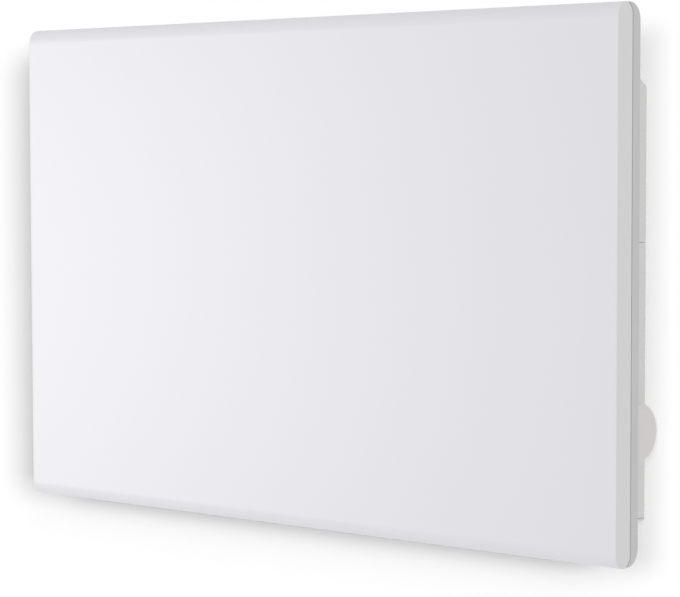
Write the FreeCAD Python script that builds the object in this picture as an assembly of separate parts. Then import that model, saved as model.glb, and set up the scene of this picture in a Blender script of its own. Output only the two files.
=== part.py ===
import FreeCAD, Part
import math
import os

# Wall panel convector. Millimetres: X runs right along the wall, Y into the wall, Z up.
# The origin lies on the wall, in the middle of the bracket's four screw holes.

# Overall
panel_width = 585.0
panel_height = 389.0
wall_distance = 83.0        # wall to front face
panel_depth = 28.0          # front face to back of the tray
seam = 0.3                  # gap between edges that meet in view
tiny = 1e-6                 # radii and runs below this count as none

# Painted sheet-steel front and tray
sheet = 1.0
bend = 1.0                  # inside radius of a fold
top_roll = 11.0             # outside radius of the front's rolled edges
bottom_roll = 10.0
hem = 1.0                   # top roll to the sheet's free edge
nest_step = 0.4             # the tray's sides stand this far inside the caps
nest_gap = 0.8              # caps' rear edge to the tray's sides
tray_corner = 12.0          # outside radius along the tray's top and bottom rear edges
tray_edge = 1.2             # rounding of the tray's upright rear edges
tray_lip = 1.8              # tray lip that reaches under the panel's hems

# End caps
end_plate = 2.5
end_edge = 1.0
cap_depth = 17.5            # front face to the caps' rear edge
arch_rise = 4.5             # the rear edge is drawn in over this height
arch_radius = 9.0
arch_tip = 1.2
plug_length = 10.0          # how far the cap reaches into the panel
plug_wall = 2.0
plug_fit = 0.2
cap_rib_count = 5
cap_rib = 1.6
cap_screw_spread = 300.0

# Covers and housing behind the panel
casing_inset = 29.5         # panel end to the covers' outer side
casing_drop = 46.5          # panel top to casing top
casing_rise = 22.5          # panel bottom to casing bottom
wall_gap = 1.0              # covers' rear edge to the wall
cut_depth = 14.0            # sloped cut at the covers' rear top corner
cut_height = 9.2
moulded = 2.2               # wall of the mouldings
moulded_edge = 1.5
control_width = 66.0
cover_width = 19.0
housing_height = 200.0
lid_thickness = 1.6
lid_gap = 0.4
boss_radius = 3.6
boss_gap = 1.0              # boss to the moulding's wall
cover_rib = 1.6

# Convection duct
bracket_room = 16.0         # duct back to the wall
bead_radius = 4.0           # stiffening beads in the duct's back
bead_depth = 2.0
bead_length = 200.0
bead_spread = 80.0
duct_flange = 12.0
casing_screw_count = 4      # along each flange
slot_width = 12.0
slot_pitch = 20.0
slot_margin = 6.0           # slot end to the duct's front and back
shield_sheet = 0.6
shield_gap = 4.5
shield_rise = 22.0
shield_height = 210.0
shield_foot = 8.0
shield_margin = 12.0

# Heating element
element_rise = 77.0         # casing bottom to element axis
rod_radius = 4.25
rod_fit = 0.1
hub_radius = 7.0
fin_thickness = 1.8
fin_reach = 44.0            # hub axis to fin tip
fin_spread = 11.0
fin_waist = 7.7             # spread at half of the reach
fin_slit = 1.5
fin_slit_pitch = 24.0
fin_slit_root = 18.0
hanger_sheet = 1.2
hanger_height = 50.0
hanger_foot = 14.0
hanger_margin = 20.0        # hanger to the duct's end
bush_radius = 7.5
bush_flange = 10.0
bush_lip = 3.0
bush_length = 9.0
cutout_rise = 45.0          # element axis to cut-out axis
cutout_radius = 8.0
cutout_flange = 10.5
pin_radius = 1.2
pin_length = 6.0

# Thermostat and knob
knob_depth = 58.0           # front face to knob axis
knob_rise = 66.0            # casing bottom to knob axis
knob_radius = 21.0
knob_taper = 0.5
knob_height = 11.0
knob_gap = 1.0
knob_wall = 2.2
knob_edge = 1.6
knob_boss = 6.0
knob_mark = 1.2
mark_depth = 0.6
thermostat_length = 30.0
thermostat_width = 28.0
thermostat_height = 34.0
collar_radius = 5.0
collar_reach = 4.0          # collar beyond the housing's side
part_fit = 0.2              # easy fit of a part in its cut-out
shaft_radius = 3.0
shaft_fit = 0.05
shaft_flat = 0.8
shaft_reach = 9.0           # shaft beyond the housing's side
nut_across = 14.0
nut_height = 3.0

# Mains switch
switch_depth = 47.0         # front face to switch centre
switch_rise = 150.0         # casing bottom to switch centre
switch_width = 12.4
switch_height = 19.2
switch_length = 16.0
switch_rim = 1.4
switch_end = 1.0            # wall at the pocket's ends
switch_pocket = 7.0         # depth
rocker_tilt = 8.0           # either way from the middle
rocker_gap = 0.3
rocker_sink = 3.5           # housing's side to the rocker's axis
rocker_reach = 7.2          # axis to either end of the face
rocker_face = 6.0           # axis to the ends' surface
rocker_dip = 1.4            # hollow in the middle of the face
rocker_base = 3.0           # axis to the lowest point

# Terminals, gland and wires
terminal_pitch = 14.0
terminal_poles = 3
terminal_depth = 16.0
terminal_height = 18.0
terminal_rise = 22.0
terminal_inset = 17.0       # covers' outer side to the block's edge
entry_radius = 2.2
terminal_screw = 2.4
terminal_sink = 1.0         # screw below the block's face, and its slot
terminal_groove = 2.0       # between poles
earth_rise = 60.0
stud_radius = 2.5
stud_nut = 8.0              # across flats
gland_inset = 24.0
gland_depth = 50.0          # front face to gland axis
gland_bore = 3.9
gland_tube = 6.0
gland_nut = 17.0            # across flats
gland_drop = 15.0
wire_radius = 1.3
grommet_flange = 6.5
grommet_seat = 5.0
wire_bend = 6.0
wire_rise = 18.0            # straight run before a bend

# Wall bracket
rail_inset = 47.0           # control housing to the rail's axis
hole_span_z = 140.0
hole_radius = 2.75
bracket_sheet = 1.5
rail_width = 30.0
rail_depth = 13.0
rail_lip = 4.0
rail_bottom = -125.0
rail_top = 135.0
crossbar_height = 24.0
crossbar_spread = 80.0
tab_depth = 11.0
rivet_radius = 1.6
rivet_head = 3.2
rivet_tail = 2.6
pin_seat = 5.9              # wall to hanging pin axis
hang_radius = 2.5
hang_fit = 0.2
hang_drop = 8.0             # height of the front lip that holds the lower pin
hang_mouth = 7.0
hang_spread = 200.0         # lower pins to upper pins
ear_sheet = 1.5
ear_gap = 3.0               # rail side to ear
ear_height = 16.0
ear_reach = 3.75            # ear beyond the pin's axis
lock_travel = 10.0
lock_tongue = 2.3
lock_release = 1.5          # raised tongue to the pin
lock_clearance = 0.3
lock_top = 145.0
lock_wall = 2.0

# Screws and feet
screw_radius = 1.6
screw_fit = 0.15
screw_head = 3.4
screw_head_height = 2.0
screw_length = 12.0
bumper_inset = 12.0         # control housing to the bumper's axis
bumper_rise = 25.0
bumper_radius = 7.0
bumper_neck = 4.0
bumper_barb = 5.0

# Planes that several pieces share
x_end = panel_width / 2
x_sheet = x_end - end_plate
x_tray = x_end - nest_step
x_side = x_end - casing_inset
x_control = x_side - control_width
x_cover = -x_side + cover_width
x_duct_left = x_cover + seam
x_duct_right = x_control - seam
x_wall = x_side - moulded
y_front = -wall_distance
y_hem = y_front + top_roll + hem
y_cap = y_front + cap_depth
y_tray = y_front + panel_depth
y_skirt = -wall_gap
y_duct = -bracket_room
y_back = y_duct - sheet
z_top = panel_height / 2
z_casing = z_top - casing_drop
z_bottom = casing_rise - z_top
z_seam = z_bottom + housing_height
z_lid = z_bottom + lid_thickness

# Axes that several pieces share
y_knob = y_front + knob_depth
z_knob = z_bottom + knob_rise
y_switch = y_front + switch_depth
z_switch = z_bottom + switch_rise
y_element = (y_tray + shield_gap + y_back) / 2
z_element = z_bottom + element_rise
z_cutout = z_element + cutout_rise
z_live = z_cutout + cutout_radius / 2
x_hanger_left = x_duct_left + hanger_margin
x_hanger_right = x_duct_right - hanger_margin - hanger_foot
x_rod_end = x_hanger_right + bush_length + hanger_foot
x_upright = x_rod_end - 2 * pin_radius
x_gland = x_side - gland_inset
x_rail = x_control - rail_inset
x_bumper = x_control - bumper_inset
y_gland = y_front + gland_depth

X = FreeCAD.Vector(1, 0, 0)
Y = FreeCAD.Vector(0, 1, 0)
Z = FreeCAD.Vector(0, 0, 1)


def vec(x, y, z):
    return FreeCAD.Vector(x, y, z)


def box(x0, x1, y0, y1, z0, z1):
    return Part.makeBox(x1 - x0, y1 - y0, z1 - z0, vec(x0, y0, z0))


def rod(start, axis, radius, length):
    return Part.makeCylinder(radius, length, start, axis)


def fuse(shapes):
    return shapes[0].fuse(shapes[1:]).removeSplitter()


def mirrored(shape):
    return shape.mirror(vec(0, 0, 0), X)


def corner_points(before, here, after):
    # Corner of an outline: one point, or start, middle and end of its arc
    point = vec(here[0], here[1], 0)
    radius = here[2]
    if radius < tiny:
        return [point]
    toward = (vec(before[0], before[1], 0) - point).normalize()
    onward = (vec(after[0], after[1], 0) - point).normalize()
    half = toward.getAngle(onward) / 2
    inward = (toward + onward).normalize()
    centre = point + inward * (radius / math.sin(half))
    reach = radius / math.tan(half)
    return [point + toward * reach, centre - inward * radius, point + onward * reach]


def outline(corners, place):
    # Closed wire through corners (u, w, radius), put in space by place(u, w)
    count = len(corners)
    stops = [corner_points(corners[i - 1], corners[i], corners[(i + 1) % count]) for i in range(count)]
    edges = []
    for i, stop in enumerate(stops):
        here = [place(p.x, p.y) for p in stop]
        onward = stops[(i + 1) % count][0]
        follow = place(onward.x, onward.y)
        if len(here) == 3:
            edges.append(Part.Arc(*here).toShape())
        if here[-1].distanceToPoint(follow) > tiny:
            edges.append(Part.LineSegment(here[-1], follow).toShape())
    return Part.Wire(edges)


def prism_x(corners, x0, x1):
    wire = outline(corners, lambda u, w: vec(x0, u, w))
    return Part.Face(wire).extrude(X * (x1 - x0))


def prism_y(corners, y0, y1):
    wire = outline(corners, lambda u, w: vec(u, y0, w))
    return Part.Face(wire).extrude(Y * (y1 - y0))


def prism_z(corners, z0, z1):
    wire = outline(corners, lambda u, w: vec(u, w, z0))
    return Part.Face(wire).extrude(Z * (z1 - z0))


def rectangle(u0, u1, w0, w1, radius=0):
    return [(u0, w0, radius), (u1, w0, radius), (u1, w1, radius), (u0, w1, radius)]


def hexagon(u, w, across):
    reach = across / math.sqrt(3)
    turns = [math.radians(60 * i) for i in range(6)]
    return [(u + reach * math.cos(t), w + reach * math.sin(t), 0) for t in turns]


def round_edges(shape, radius, chosen):
    return shape.makeFillet(radius, [edge for edge in shape.Edges if chosen(edge.BoundBox)])


def pan_screw(seat, axis, length=screw_length):
    # The head stands on the seat, the shank runs along the axis
    head = rod(seat - axis * screw_head_height, axis, screw_head, screw_head_height)
    return fuse([head, rod(seat, axis, screw_radius, length)])


def screw_hole(seat, axis, length=screw_length):
    return rod(seat, axis, screw_radius + screw_fit, length)


def route(points, radius):
    # Round wire along straight runs joined by tangent bends
    pieces = []
    start = points[0]
    for before, here, after in zip(points, points[1:], points[2:]):
        toward = (before - here).normalize()
        onward = (after - here).normalize()
        half = toward.getAngle(onward) / 2
        inward = (toward + onward).normalize()
        corner = here + toward * (wire_bend / math.tan(half))
        centre = here + inward * (wire_bend / math.sin(half))
        section = Part.Face(Part.Wire(Part.Circle(corner, toward, radius).toShape()))
        pieces.append(rod(start, -toward, radius, start.distanceToPoint(corner)))
        pieces.append(section.revolve(centre, onward.cross(toward), 180 - math.degrees(2 * half)))
        start = here + onward * (wire_bend / math.tan(half))
    pieces.append(rod(start, points[-1] - start, radius, start.distanceToPoint(points[-1])))
    return fuse(pieces)


# Screw places that pair one piece with another
def cap_screw_seats(side):
    x = side * (x_sheet - plug_length / 2)
    return [vec(x, y_tray, z) for z in (-cap_screw_spread / 2, cap_screw_spread / 2)]


def casing_screw_seats():
    step = (x_duct_right - x_duct_left) / casing_screw_count
    xs = [x_duct_left + step * (i + 0.5) for i in range(casing_screw_count)]
    zs = (z_bottom - duct_flange / 2, z_casing + duct_flange / 2)
    return [vec(x, y_tray + sheet, z) for x in xs for z in zs]


def boss_places(x0, x1, z0, z1, rows):
    # Screw bosses inside a cover, clear of its walls; a narrow cover has one column
    inset = moulded + boss_radius + boss_gap
    xs = [x0 + inset, x1 - inset]
    if xs[1] - xs[0] < 2 * inset:
        xs = [(x0 + x1) / 2]
    low = z0 + inset
    step = (z1 - z0 - 2 * inset) / (rows - 1)
    return [(x, low + step * i) for x in xs for i in range(rows)]


def control_bosses():
    return boss_places(x_control, x_side, z_lid + lid_gap, z_seam - seam, 2)


def upper_bosses():
    return boss_places(x_control, x_side, z_seam, z_casing - cut_height, 2)


def left_bosses():
    return boss_places(-x_side, x_cover, z_bottom, z_casing - cut_height, 3)


def cover_screw_seats():
    places = control_bosses() + upper_bosses() + left_bosses()
    return [vec(x, y_tray - sheet, z) for x, z in places]


def lid_screw_seats():
    inset = moulded + boss_radius + boss_gap
    return [vec(x, y_skirt - inset, z_bottom) for x in (x_control + inset, x_side - inset)]


def hang_places():
    heights = (-hang_spread / 2, hang_spread / 2)
    return [(x, z) for x in (-x_rail, x_rail) for z in heights]


# Panel
def front_outline(inset):
    # Section of the front, rolled over at the top edge and the bottom edge
    front = y_front + inset
    edge = z_top - inset
    return [(front, edge, top_roll - inset), (front, -edge, bottom_roll - inset)]


def front_panel():
    outer = front_outline(0)
    inner = front_outline(sheet)
    ends = [(y_hem, -z_top, 0), (y_hem, sheet - z_top, 0)]
    starts = [(y_hem, z_top - sheet, 0), (y_hem, z_top, 0)]
    return prism_x(outer + ends + inner[::-1] + starts, -x_sheet, x_sheet)


def cap_arch(tip, shift):
    # Rear edge of a cap from bottom to top, drawn in towards the hems
    half = [(y_cap + shift, z_top - arch_rise, arch_radius), (y_hem + shift, z_top, tip)]
    return [(y, -z, r) for y, z, r in reversed(half)] + half


def end_cap():
    skin = sheet + plug_fit
    x_plug = x_sheet - plug_length
    side = front_outline(0) + cap_arch(arch_tip, 0)
    plate = prism_x(side, x_sheet, x_end)
    plate = round_edges(plate, end_edge, lambda b: b.XMin > x_end - end_edge / 2)
    rims = []
    for inset in (skin, skin + plug_wall):
        rear = y_cap - inset
        square = [(rear, inset - z_top, 0), (rear, z_top - inset, 0)]
        rims.append(prism_x(front_outline(inset) + square, x_plug, x_sheet))
    plug = rims[0].common(prism_x(side, x_plug, x_sheet))
    pieces = [plate, plug.cut(rims[1])]
    y0 = y_front + skin + plug_wall / 2
    y1 = y_cap - skin - plug_wall / 2
    for i in range(cap_rib_count):
        z = panel_height * ((i + 1) / (cap_rib_count + 1) - 0.5) - cap_rib / 2
        pieces.append(box(x_plug + plug_wall, x_sheet, y0, y1, z, z + cap_rib))
    screws = []
    for seat in cap_screw_seats(1):
        inner = vec(seat.x, y1, seat.z)
        pieces.append(rod(inner, Y, boss_radius, y_tray - sheet - y1))
        screws.append(screw_hole(seat, -Y))
    return fuse(pieces).cut(screws)


def tray_rear(inset):
    # The two rear corners of the tray's section, top first
    rear = y_tray - inset
    edge = z_top - inset
    radius = tray_corner - inset
    return [(rear, edge, radius), (rear, -edge, radius)]


def joggled_strip():
    # Strip along the tray's top edge that reaches under the panel's hem
    x = x_sheet - plug_length - sheet
    y0 = y_hem + seam
    z0 = z_top - 2 * sheet - seam
    tongue = box(-x, x, y0 - tray_lip, y0 + tray_lip, z0, z0 + sheet)
    return fuse([tongue, box(-x, x, y0, y0 + tray_lip, z0, z_top - sheet / 2)])


def back_tray():
    y_seen = y_cap + 2 * tray_edge
    pan = prism_x(tray_rear(0) + cap_arch(0, nest_gap), -x_tray, x_tray)
    pan = round_edges(pan, tray_edge, lambda b: b.XLength < tray_edge and b.YMax > y_seen)
    mouth = [(y_front, sheet - z_top, 0), (y_front, z_top - sheet, 0)]
    hollow = prism_x(tray_rear(sheet) + mouth, sheet - x_tray, x_tray - sheet)
    strip = joggled_strip()
    holes = [screw_hole(seat - Y * sheet, Y) for seat in cover_screw_seats()]
    for seat in cap_screw_seats(-1) + cap_screw_seats(1) + casing_screw_seats():
        holes.append(screw_hole(seat + Y * sheet, -Y))
    return fuse([pan.cut(hollow), strip, strip.mirror(vec(0, 0, 0), Z)]).cut(holes)


# Covers behind the panel
def cover_section(z0, inset):
    # Side outline with the sloped cut at the rear top corner
    slope = math.atan2(cut_height, cut_depth)
    upper = y_skirt - cut_depth - inset * math.tan(slope / 2)
    lower = z_casing - cut_height - inset * math.tan(math.pi / 4 - slope / 2)
    return [
        (y_tray - inset, z0 + inset, 0),
        (y_tray - inset, z_casing - inset, 0),
        (upper, z_casing - inset, moulded_edge),
        (y_skirt - inset, lower, moulded_edge),
        (y_skirt - inset, z0 + inset, 0),
    ]


def housing_section(inset):
    z0 = z_lid + lid_gap - inset
    z1 = z_seam - seam - inset
    return rectangle(y_tray - inset, y_skirt - inset, z0, z1)


def round_seen_edge(shape, x):
    # Rounds the upright rear edge in the plane x
    half = moulded_edge / 2
    rear = y_skirt - half
    return round_edges(shape, moulded_edge,
                       lambda b: b.YMin > rear and b.XLength < half and abs(b.XMin - x) < half)


def bossed_shell(outer, hollow, places, x0, x1):
    # Moulded shell, open towards the tray, with screw bosses and ribs at its back
    y_in = y_skirt - moulded
    bosses = [rod(vec(x, y_tray, z), Y, boss_radius, y_in - y_tray) for x, z in places]
    walls = outer.cut(hollow)
    ribs = []
    for z in sorted({z for _, z in places}):
        ribs.append(box(x0, x1, y_in - 2 * moulded_edge, y_in, z - cover_rib / 2, z + cover_rib / 2))
    drilled = [screw_hole(vec(x, y_tray, z), Y) for x, z in places]
    return fuse([walls] + bosses + ribs).cut(drilled)


def cover(x0, x1, z0, places, x_seen):
    outer = prism_x(cover_section(z0, 0), x0, x1)
    outer = round_seen_edge(outer, x_seen)
    hollow = prism_x(cover_section(z0, moulded), x0 + moulded, x1 - moulded)
    return bossed_shell(outer, hollow, places, x0 + moulded, x1 - moulded)


def control_housing():
    outer = prism_x(housing_section(0), x_control, x_side)
    outer = round_seen_edge(outer, x_side)
    hollow = prism_x(housing_section(moulded), x_control + moulded, x_wall)
    shell = bossed_shell(outer, hollow, control_bosses(), x_control + moulded, x_wall)
    posts = []
    drilled = []
    for seat in lid_screw_seats():
        foot = vec(seat.x, seat.y, z_lid)
        posts.append(rod(foot, Z, boss_radius, screw_length))
        posts.append(box(seat.x - cover_rib / 2, seat.x + cover_rib / 2, seat.y, y_skirt - moulded,
                         z_lid + lid_gap, z_lid + screw_length))
        drilled.append(screw_hole(seat, Z))
    collar = rod(vec(x_wall, y_knob, z_knob), X, collar_radius + part_fit, moulded)
    reach_y = switch_width / 2 + part_fit
    reach_z = switch_height / 2 + part_fit
    window = box(x_wall, x_side, y_switch - reach_y, y_switch + reach_y,
                 z_switch - reach_z, z_switch + reach_z)
    cuts = drilled + [collar, window]
    for z in (z_element, z_live):
        cuts.append(rod(vec(x_control, y_element, z), X, grommet_seat + part_fit / 2, moulded))
    return fuse([shell] + posts).cut(cuts)


def terminal_lid():
    plate = box(x_control, x_side, y_tray, y_skirt, z_bottom, z_lid)
    plate = round_edges(plate, moulded_edge, lambda b: b.ZLength > lid_thickness / 2)
    rim = rectangle(x_control + moulded + part_fit, x_wall - part_fit, y_tray + part_fit,
                    lid_screw_seats()[0].y - boss_radius - part_fit)
    inside = rectangle(rim[0][0] + moulded, rim[1][0] - moulded, rim[0][1] + moulded, rim[2][1] - moulded)
    z_rim = z_lid + lid_gap + moulded
    spigot = prism_z(rim, z_lid, z_rim).cut(prism_z(inside, z_lid, z_rim))
    cuts = [screw_hole(seat, Z) for seat in lid_screw_seats()]
    cuts.append(rod(vec(x_gland, y_gland, z_bottom), Z, gland_tube + part_fit / 2, lid_thickness))
    return fuse([plate, spigot]).cut(cuts)


# Convection duct
def round_ended(z, radius):
    # Bar with domed ends along a bead, its axis outside the duct
    y = y_duct + bead_radius - bead_depth
    half = bead_length / 2
    domes = [Part.makeSphere(radius, vec(x, y, z)) for x in (-half, half)]
    return fuse([rod(vec(-half, y, z), X, radius, bead_length)] + domes)


def duct_back():
    # Flat sheet stiffened by beads that are pressed into the duct
    sheets = [box(x_duct_left, x_duct_right, y_back, y_duct, z_bottom, z_casing)]
    cuts = [rod(seat - Y * sheet, Y, bumper_neck + part_fit / 2, sheet) for seat in bumper_seats()]
    inside = box(x_duct_left, x_duct_right, y_back - bead_radius, y_duct, z_bottom, z_casing)
    for z in (-bead_spread, 0, bead_spread):
        sheets.append(round_ended(z, bead_radius + sheet).common(inside))
        cuts.append(round_ended(z, bead_radius))
    return fuse(sheets).cut(cuts)


def grille(z_wall, up):
    # Folded sheet: flange on the tray, slotted wall, lip inside the duct's back
    z_in = z_wall - up * sheet
    corners = [
        (y_tray, z_wall + up * duct_flange, 0),
        (y_tray + sheet, z_wall + up * duct_flange, 0),
        (y_tray + sheet, z_wall, bend),
        (y_back, z_wall, bend + sheet),
        (y_back, z_wall - up * duct_flange, 0),
        (y_back - sheet, z_wall - up * duct_flange, 0),
        (y_back - sheet, z_in, bend),
        (y_tray, z_in, bend + sheet),
    ]
    wall = prism_x(corners, x_duct_left, x_duct_right)
    span = x_duct_right - x_duct_left - 2 * slot_margin
    count = int((span - slot_width) / slot_pitch) + 1
    first = (x_duct_left + x_duct_right - slot_pitch * (count - 1)) / 2
    z0 = min(z_wall, z_in)
    cuts = []
    for i in range(count):
        x = first + slot_pitch * i
        slot = rectangle(x - slot_width / 2, x + slot_width / 2, y_tray + slot_margin, y_back - slot_margin,
                         slot_width / 2)
        cuts.append(prism_z(slot, z0, z0 + sheet))
    cuts += [screw_hole(seat, -Y) for seat in casing_screw_seats()]
    return wall.cut(cuts)


def heat_shield():
    z0 = z_bottom + shield_rise
    z1 = z0 + shield_height
    y_web = y_tray + shield_gap
    y_foot = y_tray + shield_sheet
    half = [
        (y_tray, z1 + shield_foot, 0),
        (y_foot, z1 + shield_foot, 0),
        (y_foot, z1, 0),
        (y_web, z1, bend),
    ]
    inner = [(y_web - shield_sheet, z1 - shield_sheet, 0), (y_tray, z1 - shield_sheet, 0)]
    outer_low = [(y, z0 + z1 - z, r) for y, z, r in reversed(half)]
    inner_low = [(y, z0 + z1 - z, r) for y, z, r in reversed(inner)]
    corners = half + outer_low + inner_low + inner
    return prism_x(corners, x_duct_left + shield_margin, x_duct_right - shield_margin)


# Heating element
def element_fins():
    # Extruded hub with four curved fins, slit across so that they can expand
    x0 = x_hanger_left + bush_length
    x1 = x_hanger_right - bush_length
    root = vec(x0, -fin_thickness / 2, hub_radius / 2)
    waist = vec(x0, fin_waist, fin_reach / 2)
    tip = vec(x0, fin_spread, fin_reach)
    shift = Y * fin_thickness
    edges = [
        Part.Arc(root, waist, tip).toShape(),
        Part.LineSegment(tip, tip + shift).toShape(),
        Part.Arc(tip + shift, waist + shift, root + shift).toShape(),
        Part.LineSegment(root + shift, root).toShape(),
    ]
    fin = Part.Face(Part.Wire(edges)).extrude(X * (x1 - x0))
    pair = [fin, fin.mirror(vec(0, 0, 0), Y)]
    fins = pair + [f.mirror(vec(0, 0, 0), Z) for f in pair]
    body = fuse([rod(vec(x0, 0, 0), X, hub_radius, x1 - x0)] + fins)
    cuts = [rod(vec(x0, 0, 0), X, rod_radius + rod_fit, x1 - x0)]
    wide = fin_spread + 2 * fin_thickness
    x = x0 + fin_slit_pitch
    while x < x1 - fin_slit_pitch / 2:
        for z0, z1 in ((fin_slit_root, 2 * fin_reach), (-2 * fin_reach, -fin_slit_root)):
            cuts.append(box(x, x + fin_slit, -wide, wide, z0, z1))
        x += fin_slit_pitch
    return body.cut(cuts).translated(vec(0, y_element, z_element))


def element_rod():
    x0 = x_hanger_left - bush_lip
    body = rod(vec(x0, y_element, z_element), X, rod_radius, x_rod_end - x0)
    ahead = rod(vec(x_rod_end, y_element, z_element), X, pin_radius, pin_length)
    upright = rod(vec(x_upright, y_element, z_element), Z, pin_radius, rod_radius + pin_length)
    return fuse([body, ahead, upright])


def element_bush(x, along):
    # Ceramic sleeve through a hanger, flange towards the fins
    axis = X * along
    seat = vec(x, y_element, z_element)
    sleeve = rod(seat - axis * bush_lip, axis, bush_flange, bush_lip)
    sleeve = fuse([sleeve, rod(seat, axis, bush_radius, bush_length)])
    return sleeve.cut(rod(seat - axis * bush_lip, axis, rod_radius + rod_fit, bush_lip + bush_length))


def element_bushes():
    left = element_bush(x_hanger_left + hanger_sheet, -1)
    right = element_bush(x_hanger_right, 1)
    return Part.makeCompound([left, right])


def hanger(x, foot, top):
    # Upright plate with a bush hole, and a foot folded along the duct's back
    y0 = y_tray + shield_gap + bend
    z0 = z_element - hanger_height / 2
    plate = prism_x(rectangle(y0, y_back, z0, top, bend), x, x + hanger_sheet)
    x0, x1 = sorted((x, x + foot))
    base = box(x0, x1 + hanger_sheet, y_back - hanger_sheet, y_back, z0 + bend, top - bend)
    hole = rod(vec(x, y_element, z_element), X, bush_radius + rod_fit, hanger_sheet)
    return fuse([plate, base]).cut(hole)


def hanger_left():
    return hanger(x_hanger_left, -hanger_foot, z_element + hanger_height / 2)


def hanger_right():
    plate = hanger(x_hanger_right, hanger_foot, z_cutout + hanger_height / 2)
    seat = rod(vec(x_hanger_right, y_element, z_cutout), X, cutout_radius + part_fit, hanger_sheet)
    return plate.cut(seat)


def thermal_cutout():
    # Disc limiter: cap through the hanger, flange behind it, two blade terminals
    seat = vec(x_hanger_right + hanger_sheet, y_element, z_cutout)
    cap = rod(seat - X * cutout_radius, X, cutout_radius, cutout_radius)
    flange = rod(seat, X, cutout_flange, hanger_sheet)
    base = rod(seat, X, cutout_radius, pin_length)
    x0 = seat.x + pin_length
    blades = []
    for z in (z_cutout - cutout_radius / 2, z_live):
        blades.append(rod(vec(x0, y_element, z), X, pin_radius, pin_length))
    return fuse([cap, flange, base] + blades)


# Thermostat and knob
def thermostat_body():
    half_y = thermostat_width / 2
    half_z = thermostat_height / 2
    x0 = x_wall - thermostat_length
    side = rectangle(y_knob - half_y, y_knob + half_y, z_knob - half_z, z_knob + half_z, bend)
    case = prism_x(side, x0, x_wall)
    collar = rod(vec(x_wall, y_knob, z_knob), X, collar_radius, moulded + collar_reach)
    blades = [rod(vec(x0 - pin_length, y_knob + half_y / 2, z_knob), X, pin_radius, pin_length)]
    blades.append(rod(vec(x0 + pin_length, y_element, z_knob + half_z), Z, pin_radius, pin_length))
    bore_x = x_wall - thermostat_length / 2
    bore = rod(vec(bore_x, y_knob, z_knob), X, shaft_radius + shaft_fit, x_side + collar_reach - bore_x)
    return fuse([case, collar] + blades).cut(bore)


def thermostat_nut():
    nut = prism_x(hexagon(y_knob, z_knob, nut_across), x_side, x_side + nut_height)
    return nut.cut(rod(vec(x_side, y_knob, z_knob), X, collar_radius + shaft_fit, nut_height))


def flatted_shaft(x0, x1, grow):
    # Shaft section with one flat, grown by a clearance for the knob's bore
    radius = shaft_radius + grow
    shaft = rod(vec(x0, y_knob, z_knob), X, radius, x1 - x0)
    z_flat = z_knob + shaft_radius - shaft_flat + grow
    return shaft.cut(box(x0, x1, y_knob - 2 * radius, y_knob + 2 * radius, z_flat, z_flat + radius))


def thermostat_shaft():
    x0 = x_wall - thermostat_length / 2 + shaft_fit
    x1 = x_side + collar_reach + knob_gap
    plain = rod(vec(x0, y_knob, z_knob), X, shaft_radius, x1 - x0)
    return fuse([plain, flatted_shaft(x1, x_side + shaft_reach, 0)])


def thermostat_knob():
    x0 = x_side + knob_gap
    x1 = x0 + knob_height
    x_boss = x_side + collar_reach + knob_gap
    inside = knob_radius - knob_wall
    corners = [
        (x0, inside, 0),
        (x0, knob_radius, 0),
        (x1, knob_radius - knob_taper, knob_edge),
        (x1, 0, 0),
        (x_boss, 0, 0),
        (x_boss, knob_boss, 0),
        (x1 - knob_wall, knob_boss, 0),
        (x1 - knob_wall, inside - knob_taper, 0),
    ]
    wire = outline(corners, lambda u, w: vec(u, y_knob, z_knob + w))
    body = Part.Face(wire).revolve(vec(0, y_knob, z_knob), X, 360)
    bore = flatted_shaft(x_boss, x_side + shaft_reach + shaft_fit, shaft_fit)
    half = knob_mark / 2
    mark = box(x1 - mark_depth, x1, y_knob - inside, y_knob - inside / 2, z_knob - half, z_knob + half)
    return body.cut([bore, mark])


# Mains switch
def rocker_axis():
    return vec(x_side - rocker_sink, y_switch, z_switch)


def switch_body():
    half_y = switch_width / 2
    half_z = switch_height / 2
    x0 = x_side - switch_length
    case = box(x0, x_side, y_switch - half_y, y_switch + half_y, z_switch - half_z, z_switch + half_z)
    rim_y = half_y + switch_rim
    rim_z = half_z + switch_rim
    rim = rectangle(y_switch - rim_y, y_switch + rim_y, z_switch - rim_z, z_switch + rim_z, switch_rim)
    frame = prism_x(rim, x_side, x_side + switch_rim)
    pocket_y = half_y - switch_rim
    pocket_z = half_z - switch_end
    pocket = box(x_side - switch_pocket, x_side + switch_rim, y_switch - pocket_y, y_switch + pocket_y,
                 z_switch - pocket_z, z_switch + pocket_z)
    axis = rocker_axis()
    pivot = rod(axis - Y * (half_y - rocker_gap), Y, pin_radius + shaft_fit, 2 * (half_y - rocker_gap))
    blades = [rod(vec(x0 - pin_length, y_switch, z), X, pin_radius, pin_length)
              for z in (z_switch - half_z / 2, z_switch + half_z / 2)]
    return fuse([case, frame] + blades).cut([pocket, pivot])


def mains_rocker():
    axis = rocker_axis()
    half_y = switch_width / 2 - switch_rim - rocker_gap
    side = [
        (rocker_face, rocker_reach, 0),
        (rocker_face - rocker_dip, 0, 0),
        (rocker_face, -rocker_reach, 0),
        (-rocker_base / 2, -rocker_face, 0),
        (-rocker_base, 0, 0),
        (-rocker_base / 2, rocker_face, 0),
    ]
    wire = outline(side, lambda u, w: vec(axis.x + u, axis.y - half_y, axis.z + w))
    paddle = Part.Face(wire).extrude(Y * (2 * half_y))
    reach = switch_width / 2 - 2 * rocker_gap
    body = fuse([paddle, rod(axis - Y * reach, Y, pin_radius, 2 * reach)])
    body.rotate(axis, Y, -rocker_tilt)
    return body


# Terminals, gland and wires
def terminal_span():
    x1 = x_side - terminal_inset
    z0 = z_lid + terminal_rise
    return x1 - terminal_pitch * terminal_poles, x1, z0, z0 + terminal_height


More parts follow.
